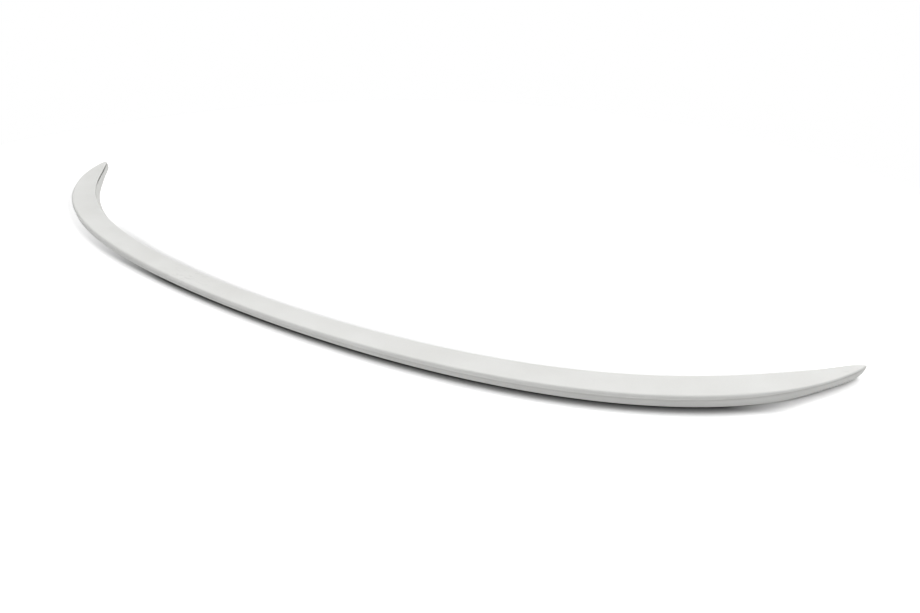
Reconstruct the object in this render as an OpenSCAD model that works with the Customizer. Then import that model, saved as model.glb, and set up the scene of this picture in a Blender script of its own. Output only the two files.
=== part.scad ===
// Boot-lid lip spoiler: one moulding with an open underside, swept along a bowed rear rim.
// X runs across the car, Y forward and Z up. The bonding lands stand on Z = 0.

/* [Plan curve] */
// Overall width from tip to tip
overall_w = 1200; // [1000:5:1400]
// Turn of the rear rim that is spread evenly from the middle to a tip, in degrees
even_turn = 20.2; // [14:0.1:28]
// Further turn of the rim that gathers towards the tip, in degrees
tip_turn = 45.5; // [36:0.5:54]
// How late the further turn gathers
turn_power = 3.4; // [2.6:0.1:4.4]

/* [Section] */
// Front-to-back width of the top in the middle of the car
chord_middle_w = 30.3; // [26:0.1:40]
// Front-to-back width that the top grows to towards the tips, before it narrows
chord_tip_w = 34.6; // [28:0.1:44]
// Height of the rim's crest in the middle of the car
crest_middle_h = 8.1; // [7.5:0.1:12]
// Height of the rim's crest at the tips
crest_tip_h = 12.7; // [10:0.1:18]
// Fall of the top from the crest to the leading edge
fall_h = 2.2; // [1:0.1:3]
// Depth of the shallow sweep in the top
sweep_h = 0.5; // [0:0.1:1]
// Radius of the bead that rolls over the rear rim
bead_r = 3; // [2:0.1:3.6]
// Radius that the bead tightens to at the tips
bead_tip_r = 1.5; // [1:0.1:2]
// Radius of the roll under the bead, which ends in the crease
under_r = 1.7; // [0.6:0.1:2]
// How far the foot of the rear wall lies in from the rim
foot_inset_w = 0.6; // [0:0.1:2]
// Radius that rounds the foot of the rear wall
foot_r = 1.2; // [0.5:0.1:2]
// Radius of the leading edge
lead_r = 1.2; // [0.6:0.1:2]
// How far the foot of the leading face runs out from the top's edge, in the middle
lead_out_middle_w = 1.5; // [0:0.1:4]
// How far it runs out towards the tips
lead_out_tip_w = 4.4; // [0:0.1:6]

/* [Tips] */
// Length over which the section narrows to a tip
taper_len = 350; // [240:5:400]
// How full the section stays before it narrows
taper_power = 5.1; // [2.4:0.1:6]
// Length of the plain rear wall at a tip, without bead or crease
plain_len = 90; // [40:5:140]
// Length over which the crease fades into the plain wall
fade_len = 110; // [40:5:160]
// Length of each tip over which the bead keeps its tight radius
bead_tip_len = 60; // [20:5:100]
// Length over which the bead opens out to its full radius
bead_ease_len = 80; // [40:5:160]
// Distance from a tip at which the foot leaves the bonding plane
lift_len = 104; // [80:2:160]
// Length over which the foot rises to its clearance
lift_ease_len = 56; // [30:2:100]
// Clearance under the foot near a tip
lift_h = 3.3; // [1:0.1:5]
// Length of the nose whose foot rolls up
nose_len = 16; // [12:1:30]
// Height of the nose where it closes
nose_h = 2.6; // [2:0.1:4]
// Drop of the top over the end of the nose
nose_drop_h = 1.5; // [0:0.1:3]
// Front-to-back width that the taper runs down to
nose_w = 5; // [3:0.1:7]
// Length over which the nose rounds off in plan
round_len = 14; // [8:1:24]

/* [Underside] */
// Wall thickness over the recess
wall_t = 2.6; // [2:0.1:3]
// Width from the rear foot to the recess, which the bonding land takes up
land_rear_w = 6; // [4:0.1:8]
// Width from the leading foot to the recess, which the other land takes up
land_lead_w = 5.5; // [4:0.1:8]
// Draft of the recess walls, measured across
draft_w = 0.8; // [0.4:0.1:1.5]
// Distance from a tip to the end of the recess
recess_gap_len = 104; // [60:2:160]
// Length of the ramp that closes the recess
ramp_len = 30; // [15:5:60]

/* [Hidden] */
// Stations from the middle to a tip, closer together towards the tip
stations = 48;
// Steps along the foot, the bead, the roll under it, the top, the leading edge and the recess roof
foot_steps = 3;
bead_steps = 6;
under_steps = 4;
top_steps = 8;
lead_steps = 4;
roof_steps = 5;
// Chord below which the lands, the foot and the fall shrink with the section
full_chord_w = 20;
// Share of the section that the nose keeps where it closes, and the share of its width it closes about
nose_share = 0.2;
nose_middle = 0.35;

function share(i) = sin(90 * i / stations);
function turn(s) = even_turn * s + tip_turn * pow(s, turn_power);
function clamp01(v) = min(1, max(0, v));
function smooth(v) = clamp01(v) * clamp01(v) * (3 - 2 * clamp01(v));
function blend(a, b, v) = a + (b - a) * v;
// Rounds off from 1 to 0 like a quarter of a circle as v falls from 1 to 0
function quarter_round(v) = sqrt(1 - pow(1 - clamp01(v), 2));

// The rear rim in plan for a half length of 1, worked out by adding short chords
rim_unit = [for (i = 0, p = [0, 0]; i <= stations; p = i < stations ? p + chord_step(i) : p, i = i + 1) p];
function chord_step(i) =
    let (a = turn((share(i) + share(i + 1)) / 2))
    (share(i + 1) - share(i)) * [cos(a), sin(a)];
// The rounded nose takes this much off the rim's own end
nose_loss = nose_w / 4;
half_len = (overall_w / 2 + nose_loss) / rim_unit[stations][0];

// Sizes of the section at a share s of the half length
function tip_gap(s) = (1 - s) * half_len;
function growth(s) = pow(sin(90 * s), 2);
function drop(s) = nose_drop_h * (1 - quarter_round(tip_gap(s) / nose_len));
function crest(s) = blend(crest_middle_h, crest_tip_h, growth(s)) - drop(s);
function taper(s) = 1 - pow(1 - clamp01(tip_gap(s) / taper_len), taper_power);
function chord(s) = blend(nose_w, blend(chord_middle_w, chord_tip_w, growth(s)), taper(s));
function foot_lift(s) = lift_h * smooth((lift_len - tip_gap(s)) / lift_ease_len);
function foot(s) = blend(crest(s) - nose_h, foot_lift(s), quarter_round(tip_gap(s) / nose_len));
function lead_out(s) = blend(lead_out_middle_w, lead_out_tip_w, growth(s));
function bead_share(s) = smooth((tip_gap(s) - bead_tip_len) / bead_ease_len);
function crease_share(s) = smooth((tip_gap(s) - plain_len) / fade_len);
function recess_share(s) = smooth((tip_gap(s) - recess_gap_len) / ramp_len);

// Outline of the section as [inward, up] points: rear foot, crease, bead, top, leading face, recess
function section(s) =
    let (
        c = chord(s),
        top = crest(s),
        base = foot(s),
        shrink = min(1, c / full_chord_w),
        bead = min(blend(bead_tip_r, bead_r, bead_share(s)), 0.35 * c, 0.4 * (top - base)),
        under = under_r * max(0.05, crease_share(s)) * shrink,
        lead = min(lead_r, 0.3 * c, 0.3 * (top - base)),
        fall = fall_h * shrink,
        sweep = sweep_h * shrink,
        rear = foot_inset_w * shrink,
        roll = min(foot_r * shrink, 0.3 * (top - base)),
        front = c + lead_out(s) * shrink,
        run = c - bead - lead,
        recess_a = rear + land_rear_w * shrink,
        recess_b = front - land_lead_w * shrink,
        draft = draft_w * shrink,
        depth = recess_share(s),
        top_at = function (q) let (v = (q - bead) / run) top - fall * v - sweep * sin(180 * clamp01(v))
    )
    concat(
        [for (k = [foot_steps:-1:0]) let (a = 90 * k / foot_steps)
            [rear + roll * (1 - cos(a)), base + roll * (1 - sin(a))]],
        [for (k = [under_steps:-1:1]) let (a = 90 * k / under_steps)
            [under * (1 - cos(a)), top - bead - under * sin(a)]],
        [for (k = [0:bead_steps]) let (a = 90 * k / bead_steps)
            [bead * (1 - cos(a)), top - bead * (1 - sin(a))]],
        [for (k = [1:top_steps]) let (q = bead + run * k / top_steps) [q, top_at(q)]],
        [for (k = [1:lead_steps]) let (a = 90 * k / lead_steps)
            [c - lead * (1 - sin(a)), top - fall - lead * (1 - cos(a))]],
        [[front, base], [recess_b, base]],
        [for (k = [roof_steps:-1:0]) let (q = blend(recess_a + draft, recess_b - draft, k / roof_steps))
            [q, blend(base, top_at(q) - wall_t, depth)]],
        [[recess_a, base]]
    );

// The section of station i set square to the rim in plan; side is 1 to the right and -1 to the left
function ring(i, side) =
    let (
        s = share(i),
        a = turn(s),
        rim = rim_unit[i] * half_len,
        centre = chord(s) * nose_middle,
        close = blend(nose_share, 1, quarter_round(tip_gap(s) / round_len))
    )
    [for (p = section(s)) let (q = centre + (p[0] - centre) * close)
        [side * (rim[0] - q * sin(a)), rim[1] + q * cos(a), p[1]]];

rings = concat([for (i = [stations:-1:1]) ring(i, -1)], [for (i = [0:stations]) ring(i, 1)]);
bow_depth = max([for (r = rings) for (p = r) p[1]]);

// Joins rings of equal length into one closed skin
module loft(rings) {
    n = len(rings[0]);
    last = len(rings) - 1;
    sides = [for (j = [0:last - 1]) for (k = [0:n - 1])
        let (a = j * n + k, b = j * n + (k + 1) % n)
        each [[a, b, b + n], [a, b + n, a + n]]];
    ends = [[for (k = [n - 1:-1:0]) k], [for (k = [0:n - 1]) last * n + k]];
    polyhedron(points = [for (r = rings) each r], faces = concat(sides, ends));
}

module spoiler() {
    color([0.87, 0.88, 0.87])
    translate([0, -bow_depth / 2, 0])
    loft(rings);
}

spoiler();
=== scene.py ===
"""Boot-lid lip spoiler: the finished moulding, its floor, light and camera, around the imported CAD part."""

import bpy
import numpy as np
from mathutils import Matrix, Vector


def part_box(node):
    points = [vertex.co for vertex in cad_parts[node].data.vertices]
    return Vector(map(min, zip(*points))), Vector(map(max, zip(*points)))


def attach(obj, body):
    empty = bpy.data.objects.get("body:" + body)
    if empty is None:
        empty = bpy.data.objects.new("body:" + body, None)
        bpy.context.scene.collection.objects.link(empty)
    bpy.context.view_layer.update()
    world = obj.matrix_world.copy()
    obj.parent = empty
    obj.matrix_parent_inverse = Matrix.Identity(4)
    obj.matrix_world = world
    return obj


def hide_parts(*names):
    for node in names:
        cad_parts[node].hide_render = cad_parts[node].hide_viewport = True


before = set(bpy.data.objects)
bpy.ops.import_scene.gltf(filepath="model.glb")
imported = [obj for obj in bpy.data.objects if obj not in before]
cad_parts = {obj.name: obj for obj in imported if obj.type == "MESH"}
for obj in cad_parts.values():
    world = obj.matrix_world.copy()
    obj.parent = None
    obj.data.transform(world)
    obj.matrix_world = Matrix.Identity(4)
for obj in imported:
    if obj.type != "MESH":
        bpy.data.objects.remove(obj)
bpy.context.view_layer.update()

MM = 0.001

# The photograph's frame, in pixels
IMAGE_W = 920
IMAGE_H = 613

# The moulding's own sizes as the part's source has them: lengths in millimetres, turns in radians, and
# powers and shares as plain numbers
EVEN_TURN = np.radians(20.2)
TIP_TURN = np.radians(45.5)
TURN_POWER = 3.4
CHORD_MIDDLE = 30.3
CHORD_TIP = 34.6
CREST_MIDDLE = 8.1
CREST_TIP = 12.7
FALL = 2.2
SWEEP = 0.5
BEAD_R = 3.0
BEAD_TIP_R = 1.5
BEAD_TIP_LEN = 60.0
BEAD_EASE = 80.0
UNDER_R = 1.7
FOOT_INSET = 0.6
FOOT_R = 1.2
LEAD_R = 1.2
LEAD_OUT_MIDDLE = 1.5
LEAD_OUT_TIP = 4.4
TAPER_LEN = 350.0
TAPER_POWER = 5.1
PLAIN_LEN = 90.0
FADE_LEN = 110.0
LIFT_LEN = 104.0
LIFT_EASE = 56.0
LIFT = 3.3
NOSE_LEN = 16.0
NOSE_H = 2.6
NOSE_DROP = 1.5
NOSE_W = 5.0
NOSE_SHARE = 0.2
NOSE_MIDDLE = 0.35
ROUND_LEN = 14.0
WALL = 2.6
LAND_REAR = 6.0
LAND_LEAD = 5.5
DRAFT = 0.8
RECESS_GAP = 104.0
RAMP_LEN = 30.0
FULL_CHORD = 20.0
# The most that the bead takes of the chord and of the height, the most that the leading edge and the foot's
# round take, and the least that is left of the roll under the bead
BEAD_OF_CHORD = 0.35
BEAD_OF_HEIGHT = 0.4
ROUND_SHARE = 0.3
UNDER_LEAST = 0.05

# The slot under the leading edge, seen as a dark line at the far tip: its width, and how far it runs in and
# down, in millimetres
SLOT_W = 1.7
SLOT_DEPTH = 3.0
# Along the moulding, in millimetres from a tip, the slot opens between SLOT_START and SLOT_FULL, thins to the
# share SLOT_THIN over SLOT_EASE from SLOT_WIDE_END on, and closes between SLOT_FADE and SLOT_END
SLOT_START = 4.0
SLOT_FULL = 12.0
SLOT_WIDE_END = 95.0
SLOT_EASE = 40.0
SLOT_THIN = 0.3
SLOT_FADE = 180.0
SLOT_END = 240.0
# Share of its size that the slot keeps where it is closed, so that each section has the same points
SLOT_LEAST = 0.02

# Fineness of the finished mesh
STATIONS = 360
FOOT_STEPS = 5
BEAD_STEPS = 12
UNDER_STEPS = 6
TOP_STEPS = 18
LEAD_STEPS = 7
WALL_STEPS = 5
LAND_STEPS = 2
ROOF_STEPS = 8
EDGE_STEPS = 3
# How far along each side the corners of the underside are rounded, in millimetres, and the most of a side
EDGE_R = 0.3
EDGE_SHARE = 0.45
# The painted shade in the slot starts one of this many steps in from its mouth
MOUTH_STEPS = 20
# The least length of a side, in millimetres, and of a normal that is divided by
TINY_SIDE = 1e-6
TINY_NORMAL = 1e-12

# How much painted shade the crease gets on the wall just below it, at the start of the roll and on its rest
CREASE_SHADE_BELOW = 0.35
CREASE_SHADE_NEAR = 0.9
CREASE_SHADE_ABOVE = 0.3
# How much painted shade the leading edge takes in its middle and in its lower part
LIP_SHADE_MIDDLE = 0.4
LIP_SHADE_LOWER = 0.8


def clamp01(v):
    return np.clip(v, 0.0, 1.0)


def smooth(v):
    """Eases from 0 to 1: three times the square less twice the cube of v held to 0..1."""
    v = clamp01(v)
    return v * v * (3 - 2 * v)


def blend(a, b, v):
    return a + (b - a) * v


def quarter_round(v):
    """Height of a quarter circle of radius 1 at v: the root of 1 less the square of 1 - v."""
    return np.sqrt(1 - (1 - clamp01(v)) ** 2)


def right_angle(steps):
    """Angles from 0 to a right angle in equal steps."""
    return np.linspace(0, np.pi / 2, steps + 1)


class Plan:
    """One half of the moulding along its rear rim. The rim's tangent turns by EVEN_TURN times the share s of
    the length plus TIP_TURN times s to the power TURN_POWER, and the rim is the sum of short chords. Each
    size of the section blends along s or along the distance to the tip."""

    def __init__(self, half_width):
        s = np.sin(np.linspace(0, np.pi / 2, STATIONS + 1))
        turn = self.turn((s[1:] + s[:-1]) / 2)
        steps = np.diff(s)[:, None] * np.stack([np.cos(turn), np.sin(turn)], axis=1)
        unit = np.concatenate([np.zeros((1, 2)), np.cumsum(steps, axis=0)])
        # The rounded nose takes this much off the rim's own end
        nose_loss = NOSE_W / 4
        half_len = (half_width + nose_loss) / unit[-1, 0]
        self.rim = unit * half_len
        self.angle = self.turn(s)
        self.gap = (1 - s) * half_len
        growth = np.sin(np.pi / 2 * s) ** 2
        nose = quarter_round(self.gap / NOSE_LEN)
        taper = 1 - (1 - clamp01(self.gap / TAPER_LEN)) ** TAPER_POWER
        self.crest = blend(CREST_MIDDLE, CREST_TIP, growth) - NOSE_DROP * (1 - nose)
        self.chord = blend(NOSE_W, blend(CHORD_MIDDLE, CHORD_TIP, growth), taper)
        self.foot = blend(self.crest - NOSE_H, LIFT * smooth((LIFT_LEN - self.gap) / LIFT_EASE), nose)
        self.lead_out = blend(LEAD_OUT_MIDDLE, LEAD_OUT_TIP, growth)
        self.close = blend(NOSE_SHARE, 1, quarter_round(self.gap / ROUND_LEN))

    @staticmethod
    def turn(s):
        return EVEN_TURN * s + TIP_TURN * s ** TURN_POWER


def section(plan):
    """The section's outline at every station, as stations by points by (inward, up), and each point's shares
    of the underside, the crease and the leading face. It runs from the foot up the rear wall, over the roll
    under the bead, the bead, the top and the leading edge, into the slot and down the leading face, then back
    by a land, the recess and the other land. Rounds are quarter circles, the top is a straight fall less half
    a sine wave, the slot runs in and down at about 45 degrees, and the rest is even steps between ends."""
    c, top, base = plan.chord, plan.crest, plan.foot
    height = top - base
    shrink = np.minimum(1, c / FULL_CHORD)
    bead = blend(BEAD_TIP_R, BEAD_R, smooth((plan.gap - BEAD_TIP_LEN) / BEAD_EASE))
    bead = np.minimum(np.minimum(bead, BEAD_OF_CHORD * c), BEAD_OF_HEIGHT * height)
    under = UNDER_R * np.maximum(UNDER_LEAST, smooth((plan.gap - PLAIN_LEN) / FADE_LEN)) * shrink
    lead = np.minimum(np.minimum(LEAD_R, ROUND_SHARE * c), ROUND_SHARE * height)
    fall = FALL * shrink
    rear = FOOT_INSET * shrink
    roll = np.minimum(FOOT_R * shrink, ROUND_SHARE * height)
    front = c + plan.lead_out * shrink
    run = c - bead - lead
    depth = smooth((plan.gap - RECESS_GAP) / RAMP_LEN)
    low, high = rear + LAND_REAR * shrink, front - LAND_LEAD * shrink
    draft = DRAFT * shrink
    edge = EDGE_R * shrink

    def top_at(q):
        v = (q - bead) / run
        return top - fall * v - SWEEP * shrink * np.sin(np.pi * clamp01(v))

    def line(a, b, steps):
        return [(blend(a[0], b[0], k / steps), blend(a[1], b[1], k / steps)) for k in range(steps + 1)]

    def corner(before, at, after):
        """Rounds the corner at `at` with a parabola that leaves and meets the sides EDGE_R from it."""
        def toward(p):
            side = np.hypot(p[0] - at[0], p[1] - at[1])
            k = np.minimum(edge / np.maximum(side, TINY_SIDE), EDGE_SHARE)
            return at[0] + (p[0] - at[0]) * k, at[1] + (p[1] - at[1]) * k

        def on_curve(k):
            return tuple((1 - k) ** 2 * a[i] + 2 * k * (1 - k) * at[i] + k * k * b[i] for i in (0, 1))

        a, b = toward(before), toward(after)
        return [on_curve(k) for k in np.linspace(0, 1, EDGE_STEPS + 1)]

    crease = (under, top - bead - under)
    foot_top, foot_low = (rear, base + roll), (rear + roll, base)
    lead_top, lead_foot = (c, top - fall - lead), (front, base)
    edge_low, edge_high = (low, base), (high, base)
    roof_low = (low + draft, blend(base, top_at(low + draft) - WALL, depth))
    roof_high = (high - draft, blend(base, top_at(high - draft) - WALL, depth))
    share = smooth((plan.gap - SLOT_START) / (SLOT_FULL - SLOT_START))
    share = share * blend(1, SLOT_THIN, smooth((plan.gap - SLOT_WIDE_END) / SLOT_EASE))
    share = np.maximum(SLOT_LEAST, share * smooth((SLOT_END - plan.gap) / (SLOT_END - SLOT_FADE)))
    slot_w, slot_in = SLOT_W * share * shrink, SLOT_DEPTH * share * shrink
    slot_foot = (blend(lead_top[0], lead_foot[0], slot_w / (lead_top[1] - base)), lead_top[1] - slot_w)
    slot_roof = (c - slot_in, lead_top[1] - slot_in)
    slot_floor = (c - slot_in, lead_top[1] - slot_in - slot_w)
    mouth_top = line(lead_top, slot_roof, MOUTH_STEPS)[1]
    mouth_low = line(slot_floor, slot_foot, MOUTH_STEPS)[-2]
    round_lead = corner(slot_foot, lead_foot, edge_high)
    round_high = corner(lead_foot, edge_high, roof_high)
    round_low = corner(roof_low, edge_low, foot_low)

    parts = []

    # Shares of each point: below for the underside, fold for the painted shade in the crease and the slot,
    # face for the painted shade on the leading face
    def add(points, below=0.0, fold=0.0, face=0.0):
        parts.extend((q, z, below, fold, face) for q, z in points)

    foot = [(rear + roll * (1 - np.cos(a)), base + roll * (1 - np.sin(a))) for a in right_angle(FOOT_STEPS)]
    add(foot[::-1])
    wall = line(foot_top, crease, WALL_STEPS)
    add(wall[1:-2])
    # Painted shade darkens the crease under the bead
    add([wall[-2]], fold=CREASE_SHADE_BELOW)
    add([wall[-1]], fold=1.0)
    hook = [(under * (1 - np.cos(a)), top - bead - under * np.sin(a)) for a in right_angle(UNDER_STEPS)]
    add(hook[-2:-4:-1], fold=CREASE_SHADE_NEAR)
    add(hook[-4:0:-1], fold=CREASE_SHADE_ABOVE)
    add([(bead * (1 - np.cos(a)), top - bead * (1 - np.sin(a))) for a in right_angle(BEAD_STEPS)])
    add([(bead + run * k / TOP_STEPS, top_at(bead + run * k / TOP_STEPS)) for k in range(1, TOP_STEPS + 1)])
    lip = [(c - lead * (1 - np.sin(a)), top - fall - lead * (1 - np.cos(a))) for a in right_angle(LEAD_STEPS)]
    add(lip[1:3])
    # Painted shade starts on the lower part of the leading edge
    add(lip[3:5], face=LIP_SHADE_MIDDLE)
    add(lip[5:], face=LIP_SHADE_LOWER)
    # The slot and the leading face below it are painted in full shade
    add([mouth_top, slot_roof, slot_floor, mouth_low], fold=1.0, face=1.0)
    add(line(slot_foot, round_lead[0], WALL_STEPS)[:-1] + round_lead, face=1.0)
    add(line(round_lead[-1], round_high[0], LAND_STEPS)[1:-1] + round_high, below=1.0)
    add(line(round_high[-1], roof_high, LAND_STEPS)[1:], below=1.0)
    for k in range(ROOF_STEPS - 1, 0, -1):
        q = blend(roof_low[0], roof_high[0], k / ROOF_STEPS)
        add([(q, blend(base, top_at(q) - WALL, depth))], below=1.0)
    add(line(roof_low, round_low[0], LAND_STEPS)[:-1] + round_low, below=1.0)
    add(line(round_low[-1], foot_low, LAND_STEPS)[1:-1], below=1.0)

    outline = np.stack([np.stack(np.broadcast_arrays(*part[:2]), axis=1) for part in parts], axis=1)
    shares = np.array([part[2:] for part in parts])
    return outline, shares


def spoiler_grid():
    """Sets each section square to the rim in plan, a point at rim + inward * (-sin, cos) of the rim's turn,
    once the section has drawn in at the nose about a line at NOSE_MIDDLE of its chord. Mirrors the half to
    the left and fits the whole to the CAD part's box. Returns the points in metres as stations by points by
    XYZ, and the shares of each point of the section."""
    low, high = (np.array(v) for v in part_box("spoiler"))
    plan = Plan(high[0] / MM)
    outline, shares = section(plan)
    middle = plan.chord[:, None] * NOSE_MIDDLE
    q = middle + (outline[..., 0] - middle) * plan.close[:, None]
    sin, cos = np.sin(plan.angle)[:, None], np.cos(plan.angle)[:, None]
    half = np.stack([plan.rim[:, :1] - q * sin, plan.rim[:, 1:] + q * cos, outline[..., 1]], axis=2)
    grid = np.concatenate([half[:0:-1] * np.array([-1.0, 1.0, 1.0]), half])
    least, most = grid.min(axis=(0, 1)), grid.max(axis=(0, 1))
    return low + (grid - least) / (most - least) * (high - low), shares


def closed_mesh(name, grid, shares):
    """A mesh of quads over the grid, closed round each section and capped by a face at both ends. Each
    vertex normal is the sum of the cross products of its quads' diagonals, so wide faces stay flat."""
    rows, cols = grid.shape[:2]
    index = np.arange(rows * cols).reshape(rows, cols)
    a, b = index[:-1], index[1:]
    quads = np.stack([a, np.roll(a, -1, 1), np.roll(b, -1, 1), b], axis=2).reshape(-1, 4)
    loops = np.concatenate([quads.ravel(), index[0][::-1], index[-1]])
    starts = np.concatenate([np.arange(len(quads)) * 4, [quads.size, quads.size + cols]])
    mesh = bpy.data.meshes.new(name)
    mesh.vertices.add(rows * cols)
    mesh.vertices.foreach_set("co", grid.reshape(-1))
    mesh.loops.add(len(loops))
    mesh.loops.foreach_set("vertex_index", loops)
    mesh.polygons.add(len(starts))
    mesh.polygons.foreach_set("loop_start", starts)
    mesh.update(calc_edges=True)
    mesh.validate()
    # The crease and leading_face shares carry painted shade
    for layer, values in zip(("underside", "crease", "leading_face"), shares.T):
        held = mesh.attributes.new(layer, "FLOAT", "POINT")
        held.data.foreach_set("value", np.tile(values, rows))
    mesh.shade_smooth()
    flat = grid.reshape(-1, 3)
    across = np.cross(flat[quads[:, 2]] - flat[quads[:, 0]], flat[quads[:, 3]] - flat[quads[:, 1]])
    normals = np.zeros_like(flat)
    for k in range(4):
        np.add.at(normals, quads[:, k], across)
    normals /= np.maximum(np.linalg.norm(normals, axis=1), TINY_NORMAL)[:, None]
    mesh.normals_split_custom_set_from_vertices(normals)
    return mesh


def add_object(name, mesh):
    piece = bpy.data.objects.new(name, mesh)
    bpy.context.scene.collection.objects.link(piece)
    return piece


def group(name, outputs):
    """A shader node group with the outputs given as (name, kind); returns it, a node maker and a linker."""
    made = bpy.data.node_groups.new(name, "ShaderNodeTree")
    for title, kind in outputs:
        made.interface.new_socket(name=title, in_out="OUTPUT", socket_type=kind)
    return (made,) + tools(made)


def tools(tree):
    """A node maker and a linker for a node tree."""
    def node(kind, **settings):
        fresh = tree.nodes.new(kind)
        for key, value in settings.items():
            setattr(fresh, key, value)
        return fresh

    def join(source, target):
        tree.links.new(source, target)

    return node, join


def noise(node, join, place, scale, detail, roughness, stretch=None):
    """Noise at a scale in cycles per metre, stretched along an axis where `stretch` is below 1."""
    texture = node("ShaderNodeTexNoise")
    texture.inputs["Scale"].default_value = scale
    texture.inputs["Detail"].default_value = detail
    texture.inputs["Roughness"].default_value = roughness
    if stretch:
        mapping = node("ShaderNodeMapping")
        mapping.inputs["Scale"].default_value = stretch
        join(place.outputs["Object"], mapping.inputs["Vector"])
        join(mapping.outputs["Vector"], texture.inputs["Vector"])
    else:
        join(place.outputs["Object"], texture.inputs["Vector"])
    return texture.outputs["Fac"]


def ranged(node, join, value, low, high, to_low, to_high):
    """Maps low..high to to_low..to_high, held at the ends."""
    spread = node("ShaderNodeMapRange")
    for title, number in (("From Min", low), ("From Max", high), ("To Min", to_low), ("To Max", to_high)):
        spread.inputs[title].default_value = number
    join(value, spread.inputs["Value"])
    return spread.outputs["Result"]


def times(node, join, a, b):
    """The product of two values."""
    product = node("ShaderNodeMath", operation="MULTIPLY")
    join(a, product.inputs[0])
    join(b, product.inputs[1])
    return product.outputs[0]


def largest(node, join, *sockets):
    """The largest of several values."""
    total = sockets[0]
    for socket in sockets[1:]:
        both = node("ShaderNodeMath", operation="MAXIMUM")
        join(total, both.inputs[0])
        join(socket, both.inputs[1])
        total = both.outputs[0]
    return total


def raised(node, join, height, depth, strength, base=None):
    """A Bump node whose height of 0 to 1 counts as `depth` metres, over another Bump node if one is given."""
    bump = node("ShaderNodeBump")
    bump.inputs["Distance"].default_value = depth
    bump.inputs["Strength"].default_value = strength
    join(height, bump.inputs["Height"])
    if base is not None:
        join(base.outputs["Normal"], bump.inputs["Normal"])
    return bump


# Where the photo shows faint handling marks: centre and reach in metres
MARKS = [
    ((-0.090, -0.099, 0.008), 0.052),
    ((0.589, 0.089, 0.012), 0.010),
]
# Share of a mark's reach inside which it is at full strength, the levels of noise between which its strokes
# come in, and the noise's stretch, which draws the strokes out along X
MARK_CORE = 0.3
STROKE_BAND = (0.53, 0.63)
STROKE_STRETCH = (0.35, 1.0, 1.0)

# Noises of the finish: cycles per metre, detail and roughness
STROKES = (240, 3.0, 0.6)
MOTTLE = (14, 3.0, 0.55)
SPECKLE = (900, 2.0, 0.6)
HAZE = (45, 2.0, 0.5)
WAVE = (38, 1.0, 0.4)
TOOTH = (1500, 2.0, 0.5)
GRAIN = (700, 3.0, 0.6)
# Speckle's share of the paint's tone
SPECKLE_SHARE = 0.3
# Relief: depth in metres and strength
WAVE_RELIEF = (0.0004, 0.10)
TOOTH_RELIEF = (0.00005, 0.22)
GRAIN_RELIEF = (0.00012, 0.6)

# The paint's darkest and palest colours, and the levels of tone that they stand at
PAINT_DARK = (0.705, 0.705, 0.685)
PAINT_PALE = (0.750, 0.752, 0.735)
TONE_BAND = (0.38, 0.62)
# What is mixed over the paint, the painted shade of the crease and of the leading face among it: the most of
# it that shows, and its colour
CREASE_PAINTED_SHADE = (0.55, (0.40, 0.40, 0.38))
FACE_PAINTED_SHADE = (0.75, (0.45, 0.45, 0.435))
SMEAR = (0.30, (0.56, 0.56, 0.54))
UNDERSIDE_DULL = (0.7, (0.50, 0.50, 0.485))
# The paint's least and greatest roughness, the levels of haze that they stand at, and how much rougher the
# underside and the marks are
PAINT_ROUGHNESS = (0.50, 0.60)
HAZE_BAND = (0.35, 0.65)
UNDERSIDE_ROUGHER = 0.22
MARKS_ROUGHER = 0.15


def marks_group():
    """Mask of thin smeared strokes: the marked places' soft discs times the peaks of stretched noise."""
    made, node, join = group("handling_marks", [("Mask", "NodeSocketFloat")])
    out = node("NodeGroupOutput")
    place = node("ShaderNodeTexCoord")
    discs = []
    for centre, reach in MARKS:
        gap = node("ShaderNodeVectorMath", operation="DISTANCE")
        gap.inputs[1].default_value = centre
        join(place.outputs["Object"], gap.inputs[0])
        disc = ranged(node, join, gap.outputs["Value"], reach * MARK_CORE, reach, 1, 0)
        discs.append(disc)
    total = largest(node, join, *discs)
    strokes = noise(node, join, place, *STROKES, STROKE_STRETCH)
    peaks = ranged(node, join, strokes, *STROKE_BAND, 0, 1)
    join(times(node, join, total, peaks), out.inputs["Mask"])
    return made


def tone_group():
    """Tone: a broad mottle of the paint plus a faint speckle, near 0.5. Haze: slow patches for the gloss."""
    made, node, join = group("paint_tone", [("Tone", "NodeSocketFloat"), ("Haze", "NodeSocketFloat")])
    out = node("NodeGroupOutput")
    place = node("ShaderNodeTexCoord")
    mix = node("ShaderNodeMix", data_type="FLOAT")
    mix.inputs["Factor"].default_value = SPECKLE_SHARE
    join(noise(node, join, place, *MOTTLE), mix.inputs["A"])
    join(noise(node, join, place, *SPECKLE), mix.inputs["B"])
    join(mix.outputs["Result"], out.inputs["Tone"])
    join(noise(node, join, place, *HAZE), out.inputs["Haze"])
    return made


def relief_group():
    """Normal of the painted skin: a fine tooth over a slow wave, with a coarser grain on the underside."""
    made, node, join = group("skin_relief", [("Normal", "NodeSocketVector")])
    out = node("NodeGroupOutput")
    place = node("ShaderNodeTexCoord")
    below = node("ShaderNodeAttribute", attribute_name="underside")
    wave = raised(node, join, noise(node, join, place, *WAVE), *WAVE_RELIEF)
    tooth = raised(node, join, noise(node, join, place, *TOOTH), *TOOTH_RELIEF, wave)
    grain = raised(node, join, noise(node, join, place, *GRAIN), *GRAIN_RELIEF, tooth)
    join(ranged(node, join, below.outputs["Fac"], 0, 1, 0, GRAIN_RELIEF[1]), grain.inputs["Strength"])
    join(grain.outputs["Normal"], out.inputs["Normal"])
    return made


def placed(node, made):
    """A node that places a group in a material."""
    held = node("ShaderNodeGroup")
    held.node_tree = made
    return held


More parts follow.
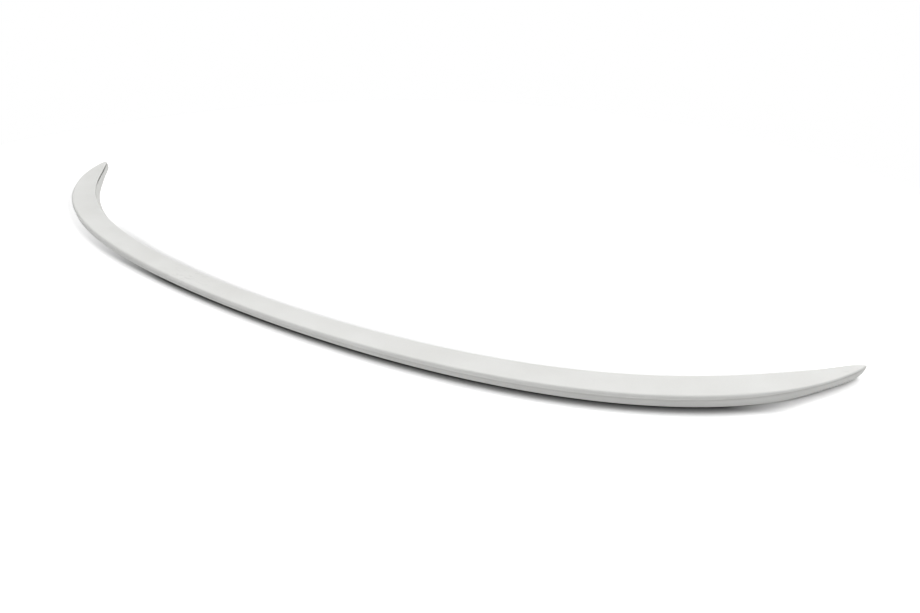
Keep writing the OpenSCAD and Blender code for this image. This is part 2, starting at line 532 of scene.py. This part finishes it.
def mixed(node, join, factor, a, b):
    """Mix of two colours, each a socket or a plain colour. A Mix node's factor is its input 0, its colours
    are inputs 6 and 7, and the mixed colour is output 2."""
    mix = node("ShaderNodeMix", data_type="RGBA")
    join(factor, mix.inputs[0])
    for socket, value in ((mix.inputs[6], a), (mix.inputs[7], b)):
        if isinstance(value, tuple):
            socket.default_value = value + (1,)
        else:
            join(value, socket)
    return mix.outputs[2]


def satin_moulding():
    """Off-white satin skin with a faint mottle, painted shade in the crease, in the slot and on the leading
    face, faint handling marks on top and a darker, duller underside."""
    material = bpy.data.materials.new("satin_moulding")
    material.use_nodes = True
    tree = material.node_tree
    tree.nodes.clear()
    node, join = tools(tree)
    out = node("ShaderNodeOutputMaterial")
    shader = node("ShaderNodeBsdfPrincipled")
    shader.inputs["IOR"].default_value = 1.45
    shader.inputs["Specular IOR Level"].default_value = 0.3
    shader.inputs["Metallic"].default_value = 0.0
    tone = placed(node, tone_group())
    marks = placed(node, marks_group())
    relief = placed(node, relief_group())
    below = node("ShaderNodeAttribute", attribute_name="underside")
    crease = node("ShaderNodeAttribute", attribute_name="crease")
    face = node("ShaderNodeAttribute", attribute_name="leading_face")

    spread = ranged(node, join, tone.outputs["Tone"], *TONE_BAND, 0, 1)
    paint = mixed(node, join, spread, PAINT_DARK, PAINT_PALE)
    # Painted shade darkens the crease, the slot and the leading face; the marks and the underside are the
    # skin's own colour
    layers = [
        (crease.outputs["Fac"], CREASE_PAINTED_SHADE),
        (face.outputs["Fac"], FACE_PAINTED_SHADE),
        (marks.outputs["Mask"], SMEAR),
        (below.outputs["Fac"], UNDERSIDE_DULL),
    ]
    for cover, (share, colour) in layers:
        paint = mixed(node, join, ranged(node, join, cover, 0, 1, 0, share), paint, colour)
    join(paint, shader.inputs["Base Color"])

    rough = ranged(node, join, tone.outputs["Haze"], *HAZE_BAND, *PAINT_ROUGHNESS)
    for cover, extra in ((below.outputs["Fac"], UNDERSIDE_ROUGHER), (marks.outputs["Mask"], MARKS_ROUGHER)):
        rougher = node("ShaderNodeMath", operation="MULTIPLY_ADD")
        join(cover, rougher.inputs[0])
        rougher.inputs[1].default_value = extra
        join(rough, rougher.inputs[2])
        rough = rougher.outputs[0]
    join(rough, shader.inputs["Roughness"])
    join(relief.outputs["Normal"], shader.inputs["Normal"])
    join(shader.outputs["BSDF"], out.inputs["Surface"])
    return material


# Half the side of the floor in metres, and its colour
FLOOR_HALF = 12.0
FLOOR_PALE = (0.90, 0.90, 0.90, 1)
# The floor's painted shade beside the foot, which only the camera sees: its reach in metres, the power that
# deepens it, and the stretches of X in metres over which it fades out towards the tips
SHADE_REACH = 0.016
SHADE_POWER = 4.0
RIGHT_FADE = (0.50, 0.57)
LEFT_FADE = (-0.10, -0.42)
# The floor's level as the camera sees it, in the middle and at the left tip, and the stretch of X between
FLOOR_SEEN = 1.25
FLOOR_SEEN_LEFT = 1.9
SEEN_STRETCH = (-0.25, -0.55)
# Distances from the floor's middle, in metres, between which the floor turns plain white to the camera
PLAIN_REACH = (0.75, 0.95)
# The stretch of X over which it turns partly white towards the left tip, and how much of it
LEFT_PALE = (-0.12, -0.40)
LEFT_PALE_SHARE = 0.75


def white_floor():
    """Pale floor that keeps the part's shadow. The camera sees it bright enough to come out white, with
    painted shade close beside the foot but less so towards the tips, painted light that pales the shadow
    towards the left tip, and plain white far away. Only the camera sees this: the lights and the part meet a
    plain pale floor."""
    material = bpy.data.materials.new("pale_floor")
    material.use_nodes = True
    tree = material.node_tree
    tree.nodes.clear()
    node, join = tools(tree)
    out = node("ShaderNodeOutputMaterial")
    plain = node("ShaderNodeBsdfDiffuse")
    plain.inputs["Color"].default_value = FLOOR_PALE
    shade = node("ShaderNodeAmbientOcclusion", samples=16)
    shade.inputs["Distance"].default_value = SHADE_REACH
    place = node("ShaderNodeTexCoord")
    split = node("ShaderNodeSeparateXYZ")
    join(place.outputs["Object"], split.inputs["Vector"])
    right = ranged(node, join, split.outputs["X"], *RIGHT_FADE, 0, 1)
    left = ranged(node, join, split.outputs["X"], *LEFT_FADE, 0, 1)
    depth = node("ShaderNodeMath", operation="POWER")
    depth.inputs[1].default_value = SHADE_POWER
    join(shade.outputs["AO"], depth.inputs[0])
    level = ranged(node, join, split.outputs["X"], *SEEN_STRETCH, FLOOR_SEEN, FLOOR_SEEN_LEFT)
    tint = times(node, join, largest(node, join, depth.outputs[0], right, left), level)
    seen = node("ShaderNodeBsdfDiffuse")
    join(tint, seen.inputs["Color"])
    reach = node("ShaderNodeVectorMath", operation="LENGTH")
    join(place.outputs["Object"], reach.inputs[0])
    white = node("ShaderNodeEmission")
    white.inputs["Color"].default_value = (1, 1, 1, 1)
    white.inputs["Strength"].default_value = 1.0
    away = ranged(node, join, reach.outputs["Value"], *PLAIN_REACH, 0, 1)
    pale = ranged(node, join, split.outputs["X"], *LEFT_PALE, 0, LEFT_PALE_SHARE)
    far = node("ShaderNodeMixShader")
    join(largest(node, join, away, pale), far.inputs["Fac"])
    join(seen.outputs[0], far.inputs[1])
    join(white.outputs[0], far.inputs[2])
    path = node("ShaderNodeLightPath")
    mix = node("ShaderNodeMixShader")
    join(path.outputs["Is Camera Ray"], mix.inputs["Fac"])
    join(plain.outputs[0], mix.inputs[1])
    join(far.outputs[0], mix.inputs[2])
    join(mix.outputs[0], out.inputs["Surface"])
    return material


def add_floor():
    """A square floor at the height the part stands on."""
    corners = [(x * FLOOR_HALF, y * FLOOR_HALF, 0) for x, y in ((-1, -1), (1, -1), (1, 1), (-1, 1))]
    mesh = bpy.data.meshes.new("floor")
    mesh.from_pydata(corners, [], [(0, 1, 2, 3)])
    mesh.materials.append(white_floor())
    add_object("floor", mesh)


# Broad distant lights: name, azimuth from +Y towards +X, height and spread in degrees, and strength
SUNS = [
    ("softbox", 20, 42, 24, 1.56),
    ("overhead", 120, 78, 50, 0.68),
    ("front_wall", -160, 10, 50, 1.10),
]
# Where they are kept in the scene, which doesn't change their light
SUN_PLACE = (0, 0, 2)
# Square light panels: name, place and the point it faces in metres, side in metres and power in watts
PANELS = [
    ("top_panel", (0.22, 0.75, 1.10), (0.15, 0.0, 0.0), 0.45, 6.2),
    ("left_panel", (-0.95, 0.45, 1.00), (-0.55, 0.05, 0.0), 0.50, 0.4),
    ("right_panel", (1.50, 0.75, 0.35), (0.55, 0.10, 0.0), 0.60, 2.0),
]


def add_lamp(lamp, place, toward):
    """Links a lamp at a place so that its light comes from the direction `toward`."""
    holder = bpy.data.objects.new(lamp.name, lamp)
    bpy.context.scene.collection.objects.link(holder)
    turn = (-Vector(toward)).to_track_quat("-Z", "Y").to_matrix().to_4x4()
    holder.matrix_world = Matrix.Translation(place) @ turn


def add_lights():
    """Distant lights from (sin a cos h, cos a cos h, sin h), a the azimuth and h the height: a softbox beyond
    the part, a light overhead and the pale wall in front. Square panels light the middle and both ends."""
    for name, azimuth, height, spread, strength in SUNS:
        a, h = np.radians([azimuth, height])
        lamp = bpy.data.lights.new(name, "SUN")
        lamp.energy = strength
        lamp.angle = np.radians(spread)
        add_lamp(lamp, SUN_PLACE, (np.sin(a) * np.cos(h), np.cos(a) * np.cos(h), np.sin(h)))
    for name, place, target, side, power in PANELS:
        lamp = bpy.data.lights.new(name, "AREA")
        lamp.energy = power
        lamp.size = side
        add_lamp(lamp, place, Vector(place) - Vector(target))


# Strength of the even light from all round
WORLD_FILL = 0.12


def add_world():
    """Low even light from all round; white to the camera, to reflections and through clear materials."""
    world = bpy.data.worlds.new("studio")
    bpy.context.scene.world = world
    world.use_nodes = True
    tree = world.node_tree
    tree.nodes.clear()
    node, join = tools(tree)
    out = node("ShaderNodeOutputWorld")
    fill = node("ShaderNodeBackground")
    fill.inputs["Color"].default_value = (1, 1, 1, 1)
    fill.inputs["Strength"].default_value = WORLD_FILL
    white = node("ShaderNodeBackground")
    white.inputs["Color"].default_value = (1, 1, 1, 1)
    white.inputs["Strength"].default_value = 1.0
    path = node("ShaderNodeLightPath")
    seen = [path.outputs[title] for title in ("Is Camera Ray", "Is Glossy Ray", "Is Transmission Ray")]
    mix = node("ShaderNodeMixShader")
    join(largest(node, join, *seen), mix.inputs["Fac"])
    join(fill.outputs[0], mix.inputs[1])
    join(white.outputs[0], mix.inputs[2])
    join(mix.outputs[0], out.inputs["Surface"])


def add_camera():
    """The photograph's camera. It stands at a distance from the middle of the rear rim, taken at floor
    height, along an azimuth and an elevation. It is rolled slightly and moved in its own plane until that
    middle falls on its pixel of the frame."""
    # Focal length in pixels, angles in degrees, distance in metres and the middle's pixel
    focal_px = 620.0
    azimuth, elevation, roll = np.radians([33.358, 30.351, -0.995])
    distance = 0.68691
    apex_px = (226.21, 306.73)
    low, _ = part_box("spoiler")
    apex = Vector((0, low[1], 0))
    level, rise = np.cos(elevation), np.sin(elevation)
    back = Vector((np.sin(azimuth) * level, -np.cos(azimuth) * level, rise))
    right = Vector((np.cos(azimuth), np.sin(azimuth), 0))
    up = back.cross(right)
    right, up = right * np.cos(roll) + up * np.sin(roll), up * np.cos(roll) - right * np.sin(roll)
    across = (apex_px[0] - IMAGE_W / 2) / focal_px * distance
    down = (apex_px[1] - IMAGE_H / 2) / focal_px * distance
    place = apex + back * distance - right * across + up * down
    lens = bpy.data.cameras.new("photo_camera")
    lens.sensor_width = 36.0
    lens.lens = focal_px / IMAGE_W * lens.sensor_width
    camera = bpy.data.objects.new("photo_camera", lens)
    bpy.context.scene.collection.objects.link(camera)
    turn = Matrix((right, up, back)).transposed().to_4x4()
    camera.matrix_world = Matrix.Translation(place) @ turn
    bpy.context.scene.camera = camera


add_camera()
add_world()
add_floor()
add_lights()

skin = add_object("spoiler_skin", closed_mesh("spoiler_skin", *spoiler_grid()))
skin.data.materials.append(satin_moulding())
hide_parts("spoiler")
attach(skin, "root")

bpy.context.scene.view_settings.view_transform = "Standard"
